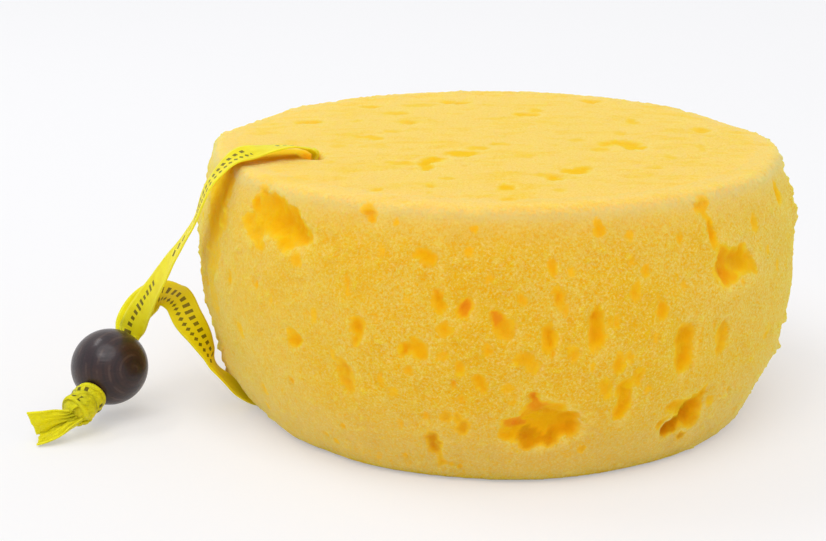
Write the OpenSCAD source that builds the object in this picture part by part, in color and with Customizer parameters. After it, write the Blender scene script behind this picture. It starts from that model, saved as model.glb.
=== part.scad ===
/* [Foam body] */
// Widest diameter of the foam
foam_d = 140; // [125:1:160]
// Height of the foam
foam_h = 61; // [52:1:75]
// How far the top rim lies inside the widest ring
top_inset = 4.8; // [2:0.2:8]
// How far the base rim lies inside the widest ring
base_inset = 9.5; // [4:0.5:14]
// Height of the widest ring above the base
widest_z = 34; // [26:1:40]
// Rounding of the top rim
top_round = 3; // [1:0.5:6]
// Rounding of the base rim
base_round = 3.5; // [1:0.5:6]
// How far the cut outline wanders in and out
uneven = 0.3; // [0:0.05:0.8]

/* [Open pores] */
// Scale of the pores' width and height
pore_size = 1; // [0.7:0.05:1.3]
// Scale of the pores' depth
pore_depth = 1; // [0.5:0.05:1.3]
// Number of scattered pores on the back half
back_pores = 34; // [0:1:60]
// Number of small pits all round the side
side_pits = 46; // [0:1:80]
// Width of the smallest pit
pit_min = 1.2; // [0.8:0.1:1.6]
// Width of the largest pit
pit_max = 2.4; // [1.8:0.1:3]

/* [Ribbon] */
// Width of the flat ribbon
ribbon_w = 7; // [5:0.5:9]
// Thickness of the ribbon
ribbon_t = 0.4; // [0.3:0.05:0.6]
// Room round the ribbon in its slit and groove
slit_clear = 0.4; // [0.2:0.05:0.6]
// Distance between the two legs in the bead
leg_gap = 1.1; // [0.9:0.1:1.3]

/* [Bead] */
// Diameter of the wooden bead
bead_d = 17.5; // [15:0.5:22]
// Diameter of the bead's bore
bore_d = 5; // [4.5:0.1:6]
// Depth of the rounded lip at each end of the bore
bore_lip = 0.6; // [0.3:0.1:1]
// Gap between the bead and the floor
bead_lift = 3.4; // [2:0.2:8]

/* [Knot] */
// Diameter of the tied knot
knot_d = 7.6; // [6:0.2:9]
// Length of the knot along the ribbon
knot_len = 7.4; // [6:0.2:9]
// Gap between the knot and the bead
knot_gap = 0.3; // [0.2:0.05:0.5]

/* [Hidden] */

foam_r = foam_d / 2;
bead_r = bead_d / 2;
overcut = 1;

// ---------------------------------------------------------------- foam body

// Points round the drum and rings between its rounded rims
drum_sides = 64;
drum_rings = 9;
rim_steps = 2;

// Swells and dents of the hand-cut outline: [degrees right of the front, height, reach, amount]
swells = [
    [79, 48, 5, 1.0],
    [72, 17, 4, 0.9],
    [66, 9, 6, -1.2],
    [-82, 33, 9, -0.6],
    [-72, 13, 7, 1.2],
    [-40, 2, 7, -1.0],
    [104, 58, 14, -0.8],
    [150, 20, 12, 1.0],
    [-140, 46, 12, -0.9],
];

function part_way(a, b, t) = a + (b - a) * t;

// Radius of the drum: two half parabolas that meet at the widest ring
function plain_r(z) =
    z > widest_z
        ? foam_r - top_inset * pow((z - widest_z) / (foam_h - widest_z), 2)
        : foam_r - base_inset * pow((widest_z - z) / widest_z, 2);

// Heights and insets of the rings, from the base round up to the top face
ring_profile = concat(
    [for (i = [0 : rim_steps]) let (a = 90 * i / (rim_steps + 1))
        [base_round * (1 - cos(a)), base_round * (1 - sin(a))]],
    [for (i = [0 : drum_rings])
        [part_way(base_round, foam_h - top_round, i / drum_rings), 0]],
    [for (i = [rim_steps : -1 : 0]) let (a = 90 * i / (rim_steps + 1))
        [foam_h - top_round * (1 - cos(a)), top_round * (1 - sin(a))]]
);

function swell(a, z, s) =
    let (across = foam_r * sin((a - s[0]) / 2) * 2, up = z - s[1])
    s[3] * exp(-(across * across + up * up) / (s[2] * s[2]));

function wander(a, z) =
    uneven * (sin(3 * a + 2 * z) + 0.7 * sin(7 * a - 5 * z + 40) + 0.5 * sin(11 * a + 9 * z))
    + sum([for (s = swells) swell(a, z, s)]);

function sum(v, i = 0) = i >= len(v) ? 0 : v[i] + sum(v, i + 1);

function drum_r(a, z) = plain_r(z) + wander(a, z);

// Angles are counted from the front, positive to the right
function at_angle(a, r, z) = [r * sin(a), -r * cos(a), z];

drum_raw = [for (ring = ring_profile) for (i = [0 : drum_sides - 1])
    let (a = 360 * i / drum_sides)
    at_angle(a, drum_r(a, ring[0]) - ring[1], ring[0])];

// The outline is uneven, so the drum is shifted until its box is centred on the origin
function middle(points, k) =
    let (v = [for (p = points) p[k]]) (max(v) + min(v)) / 2;
drum_shift = [middle(drum_raw, 0), middle(drum_raw, 1), 0];

module drum() {
    rings = len(ring_profile);
    points = [for (p = drum_raw) p - drum_shift];
    base_face = [for (i = [0 : drum_sides - 1]) i];
    top_face = [for (i = [drum_sides - 1 : -1 : 0]) (rings - 1) * drum_sides + i];
    walls = [for (r = [0 : rings - 2]) for (i = [0 : drum_sides - 1])
        let (j = (i + 1) % drum_sides, low = r * drum_sides, high = low + drum_sides)
        [low + i, high + i, high + j, low + j]];
    polyhedron(points, concat([base_face, top_face], walls));
}

// One open pore: a lobe, wider above than below, that narrows inwards
module pore(w, h, deep, lean = 0) {
    rotate([0, lean, 0])
    hull() {
        translate([0, 0, h * 0.14])
            scale([w, 2 * deep, h * 0.72]) sphere(d = 1, $fn = 7);
        translate([w * 0.06, 0, -h * 0.3])
            scale([w * 0.62, 1.5 * deep, h * 0.4]) sphere(d = 1, $fn = 5);
    }
}

// Puts a pore on the side of the drum
module on_side(a, z) {
    translate(-drum_shift) rotate([0, 0, a]) translate([0, -drum_r(a, z), z]) children();
}

// Torn pockets, each made of lobes: [degrees, height, width, height, depth, lean]
pocket_lobes = [
    // upper left
    [-51, 54.5, 7, 6.5, 3, 20],
    [-47, 54, 9, 9, 5, -20],
    [-42.5, 52.5, 9, 9.5, 8, -30],
    [-39, 50, 6, 7, 6, -25],
    [-49.5, 49.5, 7, 5, 2.4, 0],
    // foot of the front
    [3, 15, 8, 9, 7, 20],
    [7, 15.5, 9, 9, 8, 0],
    [4.5, 20, 4.5, 8, 5, -5],
    [11, 15.5, 7, 7, 6, -20],
    // foot at the right
    [32, 10.5, 6, 6, 7, 30],
    [36, 12, 6, 9, 7, 35],
    [39.5, 15.5, 4, 8, 5, 40],
    [34.5, 4.5, 3, 9, 4, 0],
    // upper right
    [41, 44, 6, 8, 7, 0],
    [45, 45, 7, 7, 7, -20],
    [49, 45, 5, 4, 4, -50],
    [38.5, 51, 2.6, 7, 3, 5],
    [35, 58.5, 6, 4, 1.6, 0],
];

// Single pores of the front half: [degrees, height, width, height, depth, lean]
front_pores = [
    [-24.5, 57.5, 3.4, 4, 2.5, 0],
    [-13.5, 51, 5, 2.6, 2, 20],
    [-7.5, 52, 2.2, 3.4, 1.6, 0],
    [-27.5, 44, 1.6, 4.4, 1.4, 0],
    [-11.5, 43, 3.2, 5, 3, -15],
    [-7.5, 41, 3.2, 4.2, 3, 10],
    [-2.5, 38, 3.2, 5, 2.6, 0],
    [0.5, 35.5, 2.8, 3.4, 2, 0],
    [-25.5, 35, 3.2, 5.6, 2.4, 10],
    [-38.5, 29, 4.2, 3.6, 2.6, 0],
    [-10.5, 36.5, 3.8, 3, 2, 20],
    [-17, 32, 4.8, 3.8, 3, 15],
    [-28.5, 23, 3, 8, 2.2, 5],
    [-5, 25.5, 2.2, 4.2, 2.2, 0],
    [-8, 28.5, 2, 4.4, 1.8, 0],
    [-13.5, 9, 3.6, 9, 3, -8],
    [-3.5, 32.5, 1.6, 3, 1.4, 0],
    [0, 24, 2.4, 3, 1.6, 0],
    [-39, 46, 3, 2.4, 1.6, 0],
    [7, 48.5, 2.4, 3.6, 1.8, 0],
    [8.5, 42, 2.4, 6, 2.4, 0],
    [6.5, 35, 2.8, 6.2, 3, 0],
    [14, 36.5, 3.8, 8.6, 4, -5],
    [27, 38.5, 2.2, 4.6, 2, 0],
    [32, 30.5, 5.4, 11.5, 4, 4],
    [41, 29.5, 4.2, 7.2, 3.4, 8],
    [20.5, 20, 4, 7.6, 3.4, 6],
    [17, 23.5, 2.8, 4.8, 2, 5],
    [20, 44, 2, 3.4, 1.8, 0],
    [4, 29.5, 2.8, 3.2, 1.8, 0],
    [51.5, 52, 3.2, 4.4, 2.4, 0],
    [66, 55, 4.6, 8, 2.4, 5],
    [31, 51.5, 2.4, 3.6, 2, 10],
    [21, 51.5, 2, 3.2, 1.6, 0],
    [15, 56.5, 2.8, 3, 1.6, 0],
    [23, 57, 3, 2.4, 1.4, 0],
    [23.5, 47.5, 1.8, 3, 1.4, 0],
    [23.5, 24.5, 1.8, 3, 1.6, 0],
    [18.5, 29.5, 2, 3.2, 1.6, 0],
    [55, 45, 2.4, 3.4, 1.6, 0],
    [37, 40, 2.2, 3.2, 1.4, 0],
    [-54, 31, 3, 5, 2.2, 0],
    [-50, 17, 3.4, 4, 2.2, 0],
    [58, 33, 3.2, 6, 2.4, 5],
];

// Shallow pores of the top face: [right of centre, behind centre, width, length, depth]
top_pores = [
    [-16, -26, 4, 6, 2.6],
    [-9.5, -20, 8, 3.4, 1.6],
    [-29, 5, 9, 4, 1.4],
    [-20, 19, 5, 4, 1.4],
    [-22, 31, 6, 4, 1.2],
    [-27, -51, 3, 4, 1.6],
    [-15, -50, 2.6, 5, 1.6],
    [11, -39, 6, 4, 1.8],
    [18, -32, 4, 3, 1.4],
    [0, -49, 3, 4, 1.4],
    [31, -7, 9, 6, 1.8],
    [35, 21, 4, 5, 1.4],
    [33, -32, 4, 3, 1.2],
    [5.5, -20, 4, 3, 1.2],
    [1, 5, 6, 3, 1.2],
    [10.5, 31, 6, 5, 1.4],
    [44, -22, 5, 3, 1.2],
    [-44, 20, 5, 6, 1.6],
    [-8, 46, 6, 4, 1.4],
    [28, 46, 4, 5, 1.6],
    [50, 8, 4, 5, 1.4],
];

// Shallow pores of the base: [distance from centre, degrees, width, depth]
base_pores = [
    [24, 20, 5, 1.6],
    [38, 75, 6, 1.8],
    [19, 130, 4, 1.4],
    [42, 170, 5, 1.8],
    [30, 215, 6, 1.6],
    [47, 262, 4, 1.4],
    [33, 300, 5, 1.8],
    [49, 340, 4, 1.4],
];

module pockets() {
    for (p = concat(pocket_lobes, front_pores))
        on_side(p[0], p[1])
            pore(p[2] * pore_size, p[3] * pore_size, p[4] * pore_depth, p[5]);
}

module scattered_pores() {
    for (i = [0 : 1 : back_pores - 1]) {
        r = rands(0, 1, 4, 300 + i);
        w = part_way(2.4, 8, r[0] * r[0]) * pore_size;
        on_side(90 + 180 * (i + 0.5) / back_pores + part_way(-6, 6, r[1]), part_way(7, 56, r[2]))
            pore(w, w * part_way(1, 2.1, r[3]), w * 0.7 * pore_depth, part_way(-15, 15, r[1]));
    }
    for (i = [0 : 1 : side_pits - 1]) {
        r = rands(0, 1, 4, 700 + i);
        w = part_way(pit_min, pit_max, r[0]) * pore_size;
        on_side(i * 137.5, part_way(5, 58, r[1]))
            scale([w, w * pore_depth, w * part_way(1.1, 1.9, r[2])])
            hull() sphere(d = 1, $fn = 6);
    }
}

module face_pores() {
    for (p = top_pores)
        translate([p[0], p[1], foam_h])
            scale([p[2] * pore_size, p[3] * pore_size, 2 * p[4] * pore_depth])
            hull() sphere(d = 1, $fn = 8);
    for (p = base_pores)
        translate(at_angle(p[1], p[0], 0))
            scale([p[2] * pore_size, p[2] * pore_size, 2 * p[3] * pore_depth])
            hull() sphere(d = 1, $fn = 8);
}

// ------------------------------------------------------- slit for the ribbon

// The left side of the foam, from which the ribbon's places are measured
side = -foam_r;
// Where the slit meets the top face and the base, and how the ribbon's width is turned there
slit_top = [side + 29, -19];
slit_base = [side + 24, -3];
slit_top_turn = 22;
slit_base_turn = 38;
// Where the ribbon leaves the base
groove_end = [side + 7, -18];
groove_h = 7.4;
groove_w = ribbon_w + 4;
mouth_depth = 2.6;

function turned(turn) = [-sin(turn), cos(turn), 0];

module slit_end(place, turn, z, h) {
    translate([place[0], place[1], z]) rotate([0, 0, turn])
        linear_extrude(h)
        square([ribbon_t + 2 * slit_clear, ribbon_w + 2 * slit_clear + 0.6], center = true);
}

module ribbon_way() {
    hull() {
        slit_end(slit_top, slit_top_turn, foam_h, overcut);
        slit_end(slit_base, slit_base_turn, -overcut, overcut);
    }
    // the foam is drawn in where the ribbon dips into it
    translate([slit_top[0] - 0.6, slit_top[1], foam_h]) rotate([0, 0, slit_top_turn])
        scale([5, ribbon_w + 3, 2 * mouth_depth]) hull() sphere(d = 1, $fn = 12);
    // the base is pressed in over the ribbon, most of all at the rim
    hull() {
        slit_end(slit_base, slit_base_turn, -overcut, overcut + 1.6);
        translate([groove_end[0], groove_end[1], -overcut]) rotate([0, 0, slit_base_turn])
            linear_extrude(overcut + groove_h) square([1, groove_w], center = true);
    }
}

module foam_body() {
    color("#efc554")
    difference() {
        drum();
        pockets();
        scattered_pores();
        face_pores();
        ribbon_way();
    }
}

// --------------------------------------------------------------------- bead

// The bead hangs beside the foam, its bore pointing down towards the front left
bead_at = [side - 18.7, -22.5, bead_r + bead_lift];
bore_turn = [0, 115, 248];
bore_axis = [
    sin(bore_turn[1]) * cos(bore_turn[2]),
    sin(bore_turn[1]) * sin(bore_turn[2]),
    cos(bore_turn[1]),
];

function unit(v) = v / norm(v);
function square_to(v, axis) = unit(v - axis * (v * axis));

// The ribbon's width runs along bore_across in the bore, and the legs lie on each other along bore_side
bore_across = square_to([-0.85, 0, 0.5], bore_axis);
bore_side = cross(bore_across, bore_axis);

function on_bore(s, leg) = bead_at + bore_axis * s + bore_side * leg * leg_gap / 2;

// Distance from the bead's centre to the edge of its bore
bore_mouth = sqrt(bead_r * bead_r - bore_d * bore_d / 4);

module bead() {
    color("#4a3a3c")
    translate(bead_at) rotate(bore_turn)
    rotate_extrude($fn = 96)
    difference() {
        intersection() {
            circle(d = bead_d, $fn = 96);
            translate([bore_d / 2, -bead_r]) square([bead_r, bead_d]);
        }
        // the bore's ends are broken to a small lip
        for (s = [-1, 1])
            translate([bore_d / 2, s * bore_mouth]) rotate(45)
                square(bore_lip * sqrt(2), center = true);
    }
}

// ------------------------------------------------------------------- ribbon

// The ribbon's route, from the knot up over the foam, through it and back to the knot:
// [place, direction of its width, share of its full width]
top = foam_h;
bore_end = bead_r + knot_gap;
mouth = on_bore(-bead_r, 0);
bore_share = 0.7 * bore_d / ribbon_w;
w_top = turned(slit_top_turn);
w_base = turned(slit_base_turn);

// Height of a place on the upper leg, as a share of the way from the bead up to the top face
function hang(t) = part_way(24, top, t);

// A place in the slit, as a share of the way down, and the ribbon's turn there
function in_slit(t) = [
    part_way([slit_top[0], slit_top[1], top], [slit_base[0], slit_base[1], 0], t),
    turned(part_way(slit_top_turn, slit_base_turn, t)), 1];

upper_leg = [
    [on_bore(bore_end, 1), bore_across, bore_share],
    [on_bore(-3, 1), bore_across, bore_share],
    [on_bore(-bead_r, 1), bore_across, bore_share * 1.15],
    [mouth + [0.8, 1.1, 2.2], [-0.8, 0.3, 0.4], 0.88],
    [mouth + [2.2, 0.8, 5], [-0.77, 0.54, 0.31], 1],
    [[side - 11.8, -15.5, hang(0)], [-0.66, 0.72, 0.19], 1],
    [[side - 8.3, -18.5, hang(0.16)], [-0.49, 0.87, 0.04], 1],
    [[side - 4.4, -22, hang(0.33)], [-0.37, 0.93, -0.05], 1],
    [[side + 0.1, -25.5, hang(0.52)], [-0.22, 0.96, -0.15], 1],
    [[side + 2.8, -28, hang(0.65)], [-0.18, 0.97, -0.18], 1],
    [[side + 5.1, -30.5, hang(0.8)], [-0.24, 0.96, -0.15], 1],
    [[side + 7, -31.5, hang(0.9)], [-0.26, 0.96, -0.12], 1],
    [[side + 8.8, -31, top - 1.4], [-0.27, 0.96, 0], 1],
    [[side + 11.4, -29.2, top + 0.9], [-0.23, 0.97, 0.1], 1],
    [[side + 14.5, -27, top + 2.1], [-0.2, 0.95, 0.22], 1],
    [[side + 18.5, -24.6, top + 2.9], [-0.2, 0.97, 0.1], 1],
    [[side + 23, -22.2, top + 3.3], [-0.3, 0.95, -0.1], 1],
    [[side + 26.4, -20.3, top + 2.6], w_top, 1],
    [[side + 28.2, -19.5, top + 1], w_top, 1],
];
through_foam = [
    in_slit(0.02),
    in_slit(0.35),
    in_slit(0.7),
    [[slit_base[0] + 0.1, slit_base[1] - 0.4, 2.4], w_base, 1],
    [[slit_base[0] - 1.1, slit_base[1] - 1.3, 0.8], w_base, 1],
];
lower_leg = [
    [[side + 18, -7.8, 0.6], w_base, 1],
    [[side + 13, -11.8, 1.1], [-0.5, 0.8, 0], 1],
    [[side + 10.2, -15.2, 2.8], [-0.2, 0.95, 0.1], 1],
    [[side + 7.4, -18.8, 5.6], [-0.12, 0.95, 0.1], 1],
    [[side + 5.4, -21.6, 9.2], [0, 0.98, -0.08], 1],
    [[side + 4.2, -23.4, 12.8], [0.08, 0.98, -0.15], 1],
    [[side + 3, -24, 16.2], [0.3, 0.95, -0.1], 1],
    [[side + 1.5, -23.4, 19.8], [0.62, 0.77, 0.05], 1],
    [[side - 0.5, -21.5, 23.6], [0.84, 0.42, 0.33], 1],
    [[side - 2.6, -18.6, 26.6], [0.48, 0.55, 0.68], 1],
    [[side - 4.8, -16.2, 27.3], [0, 0.93, 0.4], 1],
    [[side - 7.4, -14.2, 27], [-0.3, 0.8, 0.5], 1],
    [[side - 10.4, -12.8, 25.5], [-0.65, 0.45, 0.6], 1],
    [[side - 13.4, -11.8, 22.6], [-0.85, 0.15, 0.45], 1],
    [mouth + [0.3, 2.6, 3.4], [-0.85, 0, 0.5], 0.95],
    [mouth + [-0.1, 1.6, 1], [-0.85, 0, 0.5], 0.75],
    [on_bore(-bead_r, -1), bore_across, bore_share * 1.15],
    [on_bore(-3, -1), bore_across, bore_share],
    [on_bore(bore_end, -1), bore_across, bore_share],
];
ribbon_route = concat(upper_leg, through_foam, lower_leg);

// A smooth curve through a route, with one more point halfway along each step
function blend(r, i, k) =
    let (n = len(r) - 1, a = r[max(i - 1, 0)][k], b = r[i][k], c = r[i + 1][k], d = r[min(i + 2, n)][k])
    (9 * (b + c) - (a + d)) / 16;
function doubled(r) = concat(
    [for (i = [0 : len(r) - 2]) each [r[i], [blend(r, i, 0), blend(r, i, 1), blend(r, i, 2)]]],
    [r[len(r) - 1]]
);

// One ring of a flat band: four points along each face, cupped where the band is gathered
function band_ring(r, i, w, t) =
    let (
        n = len(r) - 1,
        along = unit(r[min(i + 1, n)][0] - r[max(i - 1, 0)][0]),
        across = square_to(r[i][1], along),
        out = cross(along, across),
        half = w * r[i][2] / 2,
        cup = w * 0.2 * (1 - r[i][2])
    )
    [for (f = [1, -1]) for (u = [-1, -1 / 3, 1 / 3, 1])
        let (v = u * f)
        r[i][0] + across * half * v + out * (cup * (0.5 - v * v) + f * t / 2)];

// A closed band swept along a route
module band(route, w, t) {
    k = 8;
    last = len(route) - 1;
    points = [for (i = [0 : last]) each band_ring(route, i, w, t)];
    walls = [for (i = [0 : last - 1]) for (j = [0 : k - 1])
        let (a = i * k + j, b = i * k + (j + 1) % k)
        each [[a, b, b + k], [a, b + k, a + k]]];
    // each end is closed by a strip of three quads
    ends = [for (e = [[0, 1], [last * k, -1]]) for (j = [0 : 2])
        let (q = [e[0] + j, e[0] + 7 - j, e[0] + 6 - j, e[0] + j + 1])
        e[1] > 0 ? q : [q[3], q[2], q[1], q[0]]];
    polyhedron(points, concat(walls, ends));
}

module ribbon() {
    color("#e6dc2a")
    band(doubled(ribbon_route), ribbon_w, ribbon_t);
}

// --------------------------------------------------------------------- knot

knot_at = bead_at + bore_axis * (bore_end + knot_len / 2);
knot_tip = bead_at + bore_axis * (bore_end + knot_len * 0.86);

// Height of a place on a tail, as a share of the way from the knot down to the floor
function drop(t) = part_way(knot_tip[2], 0.3, t) - knot_tip[2];

// The two cut tails, spreading from the knot down to the floor
tails = [
    [
        [knot_tip + [0.4, 0.3, 0.2], [-0.3, -0.3, 0.9], 0.42],
        [knot_tip + [-1.8, -1.2, drop(0.02)], [-0.3, -0.3, 0.9], 0.5],
        [knot_tip + [-4.2, -1.8, drop(0.08)], [-0.2, -0.35, 0.95], 0.75],
        [knot_tip + [-7.2, -1.9, drop(0.2)], [-0.1, -0.4, 0.9], 0.95],
        [knot_tip + [-9.8, -1.8, drop(0.28)], [-0.1, -0.4, 0.9], 1],
    ],
    [
        [knot_tip + [0.6, 0, -0.5], [0.2, 0.8, 0.5], 0.42],
        [knot_tip + [-1.4, -1.4, drop(0.25)], [0.1, 0.8, 0.5], 0.5],
        [knot_tip + [-3.4, -2.2, drop(0.48)], [-0.1, 0.85, 0.4], 0.7],
        [knot_tip + [-5.8, -2.6, drop(0.7)], [-0.2, 0.9, 0.3], 0.85],
        [knot_tip + [-8.2, -2.7, drop(0.86)], [-0.2, 0.9, 0.1], 0.95],
    ],
];

// Half outline of the tied knot, from the bead's side to the tails
knot_outline = [
    [0, 0],
    [knot_d * 0.36, 0],
    [knot_d * 0.46, knot_len * 0.08],
    [knot_d * 0.5, knot_len * 0.24],
    [knot_d * 0.47, knot_len * 0.34],
    [knot_d * 0.5, knot_len * 0.46],
    [knot_d * 0.46, knot_len * 0.66],
    [knot_d * 0.36, knot_len * 0.84],
    [knot_d * 0.22, knot_len * 0.95],
    [0, knot_len],
];

module ribbon_knot() {
    color("#d8d024") {
        translate(bead_at + bore_axis * bore_end) rotate(bore_turn)
            rotate_extrude($fn = 48) polygon(knot_outline);
        for (t = tails) band(doubled(t), ribbon_w, ribbon_t);
    }
}

foam_body();
ribbon();
bead();
ribbon_knot();
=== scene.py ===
import math
import random

import bmesh
import bpy
from mathutils import Matrix, Vector, kdtree, noise


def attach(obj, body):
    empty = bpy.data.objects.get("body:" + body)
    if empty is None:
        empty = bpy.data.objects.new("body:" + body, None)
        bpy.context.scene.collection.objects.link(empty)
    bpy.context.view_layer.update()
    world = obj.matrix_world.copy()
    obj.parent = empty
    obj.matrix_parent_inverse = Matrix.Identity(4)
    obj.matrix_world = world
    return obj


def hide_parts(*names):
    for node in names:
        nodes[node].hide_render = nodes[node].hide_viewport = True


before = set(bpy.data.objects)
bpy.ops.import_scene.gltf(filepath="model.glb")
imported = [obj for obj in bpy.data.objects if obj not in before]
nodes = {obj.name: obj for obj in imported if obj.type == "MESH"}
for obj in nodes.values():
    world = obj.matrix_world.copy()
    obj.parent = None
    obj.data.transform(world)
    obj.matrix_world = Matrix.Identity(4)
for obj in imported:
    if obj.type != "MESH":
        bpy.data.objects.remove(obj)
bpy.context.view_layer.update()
scene = bpy.context.scene

MM = 0.001
VIEW_W, VIEW_H = 826, 541


def put(name, data):
    """Makes an object of a mesh, a lamp or a camera, and puts it in the scene."""
    made = bpy.data.objects.new(name, data)
    scene.collection.objects.link(made)
    return made


# ---- camera

# where the camera stands in millimetres, how far it looks down, and its focal length in pixels
STAND = Vector((-19.07, -364.91, 136.02))
PITCH = math.radians(16.415)
FOCAL = 1583.15


def place_camera():
    lens = bpy.data.cameras.new("camera")
    lens.sensor_width = 36
    lens.lens = lens.sensor_width * FOCAL / VIEW_W
    lens.clip_start = 0.01
    lens.clip_end = 20
    camera = put("camera", lens)
    camera.location = STAND * MM
    camera.rotation_euler = (math.pi / 2 - PITCH, 0, 0)
    scene.camera = camera


def sight(px, py):
    """Direction of the line of sight through a point of the view."""
    ahead = Vector((0, math.cos(PITCH), -math.sin(PITCH)))
    up = Vector((0, math.sin(PITCH), math.cos(PITCH)))
    return ahead + Vector((1, 0, 0)) * ((px - VIEW_W / 2) / FOCAL) + up * ((VIEW_H / 2 - py) / FOCAL)


place_camera()


# ---- sizes, millimetres

FOAM_H = 61
SIDE, TOP = -70, FOAM_H
RIBBON_W, RIBBON_T = 7, 0.4
BEAD_R = 8.75
BEAD_AT = Vector((SIDE - 18.7, -22.5, BEAD_R + 3.4))
BORE_R = 2.5
LEG_GAP = 1.1
KNOT_GAP = 0.3
KNOT_D, KNOT_LEN = 7.6, 7.4
# where the knot and the lower leg start on the ribbon's own measure, which places its print
KNOT_RUN, LOWER_RUN = 200, 288

BORE_DOWN, BORE_ROUND = math.radians(115), math.radians(248)
BORE = Vector((
    math.sin(BORE_DOWN) * math.cos(BORE_ROUND),
    math.sin(BORE_DOWN) * math.sin(BORE_ROUND),
    math.cos(BORE_DOWN),
))


def square_to(v, axis):
    """A direction made square to an axis."""
    v = Vector(v)
    return (v - axis * v.dot(axis)).normalized()


ACROSS = square_to((-0.85, 0, 0.5), BORE)
BESIDE = ACROSS.cross(BORE)


def on_bore(s, leg=0):
    return BEAD_AT + BORE * s + BESIDE * (leg * LEG_GAP / 2)


def turned(degrees):
    a = math.radians(degrees)
    return Vector((-math.sin(a), math.cos(a), 0))


def part_way(a, b, t):
    return a + (b - a) * t


def share_of(value, start, end):
    """How far a value is on its way from start to end, from 0 to 1."""
    return min(max((value - start) / (end - start), 0), 1)


# ---- ribbon routes

MOUTH = on_bore(-BEAD_R)
BORE_END = BEAD_R + KNOT_GAP
BORE_SHARE = 0.7 * 2 * BORE_R / RIBBON_W
SLIT_TOP, SLIT_BASE = Vector((SIDE + 29, -19, TOP)), Vector((SIDE + 24, -3, 0))


def mouth(x, y, z):
    return MOUTH + Vector((x, y, z))


def hang(t):
    return part_way(24, TOP, t)


def in_slit(t):
    return (SLIT_TOP.lerp(SLIT_BASE, t), turned(part_way(22, 38, t)), 1)


# each row: place, direction of the width, share of the full width
upper_leg = [
    (on_bore(BORE_END, 1), ACROSS, BORE_SHARE),
    (on_bore(-3, 1), ACROSS, BORE_SHARE),
    (on_bore(-BEAD_R, 1), ACROSS, BORE_SHARE * 1.15),
    (mouth(0.8, 1.1, 2.2), (-0.8, 0.3, 0.4), 0.88),
    (mouth(2.2, 0.8, 5), (-0.77, 0.54, 0.31), 1),
    ((SIDE - 11.8, -15.5, hang(0)), (-0.66, 0.72, 0.19), 1),
    ((SIDE - 8.3, -18.5, hang(0.16)), (-0.49, 0.87, 0.04), 1),
    ((SIDE - 4.4, -22, hang(0.33)), (-0.37, 0.93, -0.05), 1),
    ((SIDE + 0.1, -25.5, hang(0.52)), (-0.22, 0.96, -0.15), 1),
    ((SIDE + 2.8, -28, hang(0.65)), (-0.18, 0.97, -0.18), 1),
    ((SIDE + 5.1, -30.5, hang(0.8)), (-0.24, 0.96, -0.15), 1),
    ((SIDE + 7, -31.5, hang(0.9)), (-0.26, 0.96, -0.12), 1),
    ((SIDE + 8.8, -31, TOP - 1.4), (-0.27, 0.96, 0), 1),
    ((SIDE + 11.4, -29.2, TOP + 0.9), (-0.23, 0.97, 0.1), 1),
    ((SIDE + 14.5, -27, TOP + 2.1), (-0.2, 0.95, 0.22), 1),
    ((SIDE + 18.5, -24.6, TOP + 2.5), (-0.2, 0.97, 0.04), 1),
    ((SIDE + 23, -22.2, TOP + 2.6), (-0.2, 0.96, -0.14), 1),
    ((SIDE + 26.4, -20.5, TOP + 1.9), (-0.1, 0.96, -0.21), 0.9),
    ((SIDE + 28.4, -19.6, TOP + 1.1), (0.03, 0.95, -0.28), 0.68),
    (SLIT_TOP + Vector((0.3, 0, -0.6)), (0.08, 0.95, -0.3), 0.5),
    in_slit(0.2),
    in_slit(0.45),
]
lower_leg = [
    in_slit(0.75),
    (SLIT_BASE + Vector((0.4, -1.5, 6)), turned(38), 1),
    (SLIT_BASE + Vector((-0.3, -1.7, 3.2)), turned(38), 1),
    (SLIT_BASE + Vector((-1.8, -3, 1.3)), turned(38), 1),
    (SLIT_BASE + Vector((-4.6, -5.7, 0.6)), turned(38), 1),
    ((SIDE + 16.6, -11.6, 1.1), (-0.5, 0.85, 0), 1),
    ((SIDE + 12.9, -15.4, 2.5), (-0.5, 0.76, 0.42), 1),
    ((SIDE + 9.7, -18.6, 5.8), (-0.42, 0.66, 0.62), 1),
    ((SIDE + 7, -21, 9.3), (-0.35, 0.85, 0.3), 1),
    ((SIDE + 5.4, -22.8, 12.8), (0, 0.98, -0.15), 1),
    ((SIDE + 4.3, -23.6, 16.2), (0.3, 0.95, -0.1), 1),
    ((SIDE + 2.4, -23.4, 19.8), (0.62, 0.77, 0.05), 1),
    ((SIDE - 0.5, -21.5, 23.6), (0.84, 0.42, 0.33), 1),
    ((SIDE - 2.6, -18.6, 26.6), (0.48, 0.55, 0.68), 1),
    ((SIDE - 4.8, -16.2, 27.3), (0, 0.93, 0.4), 1),
    ((SIDE - 7.4, -14.2, 27), (-0.3, 0.8, 0.5), 1),
    ((SIDE - 10.4, -12.8, 25.5), (-0.65, 0.45, 0.6), 1),
    ((SIDE - 13.4, -11.8, 22.6), (-0.85, 0.15, 0.45), 1),
    (mouth(0.3, 2.6, 3.4), (-0.85, 0, 0.5), 0.95),
    (mouth(-0.1, 1.6, 1), (-0.85, 0, 0.5), 0.75),
    (on_bore(-BEAD_R, -1), ACROSS, BORE_SHARE * 1.15),
    (on_bore(-3, -1), ACROSS, BORE_SHARE),
    (on_bore(BORE_END, -1), ACROSS, BORE_SHARE),
]


# ---- materials

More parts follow.
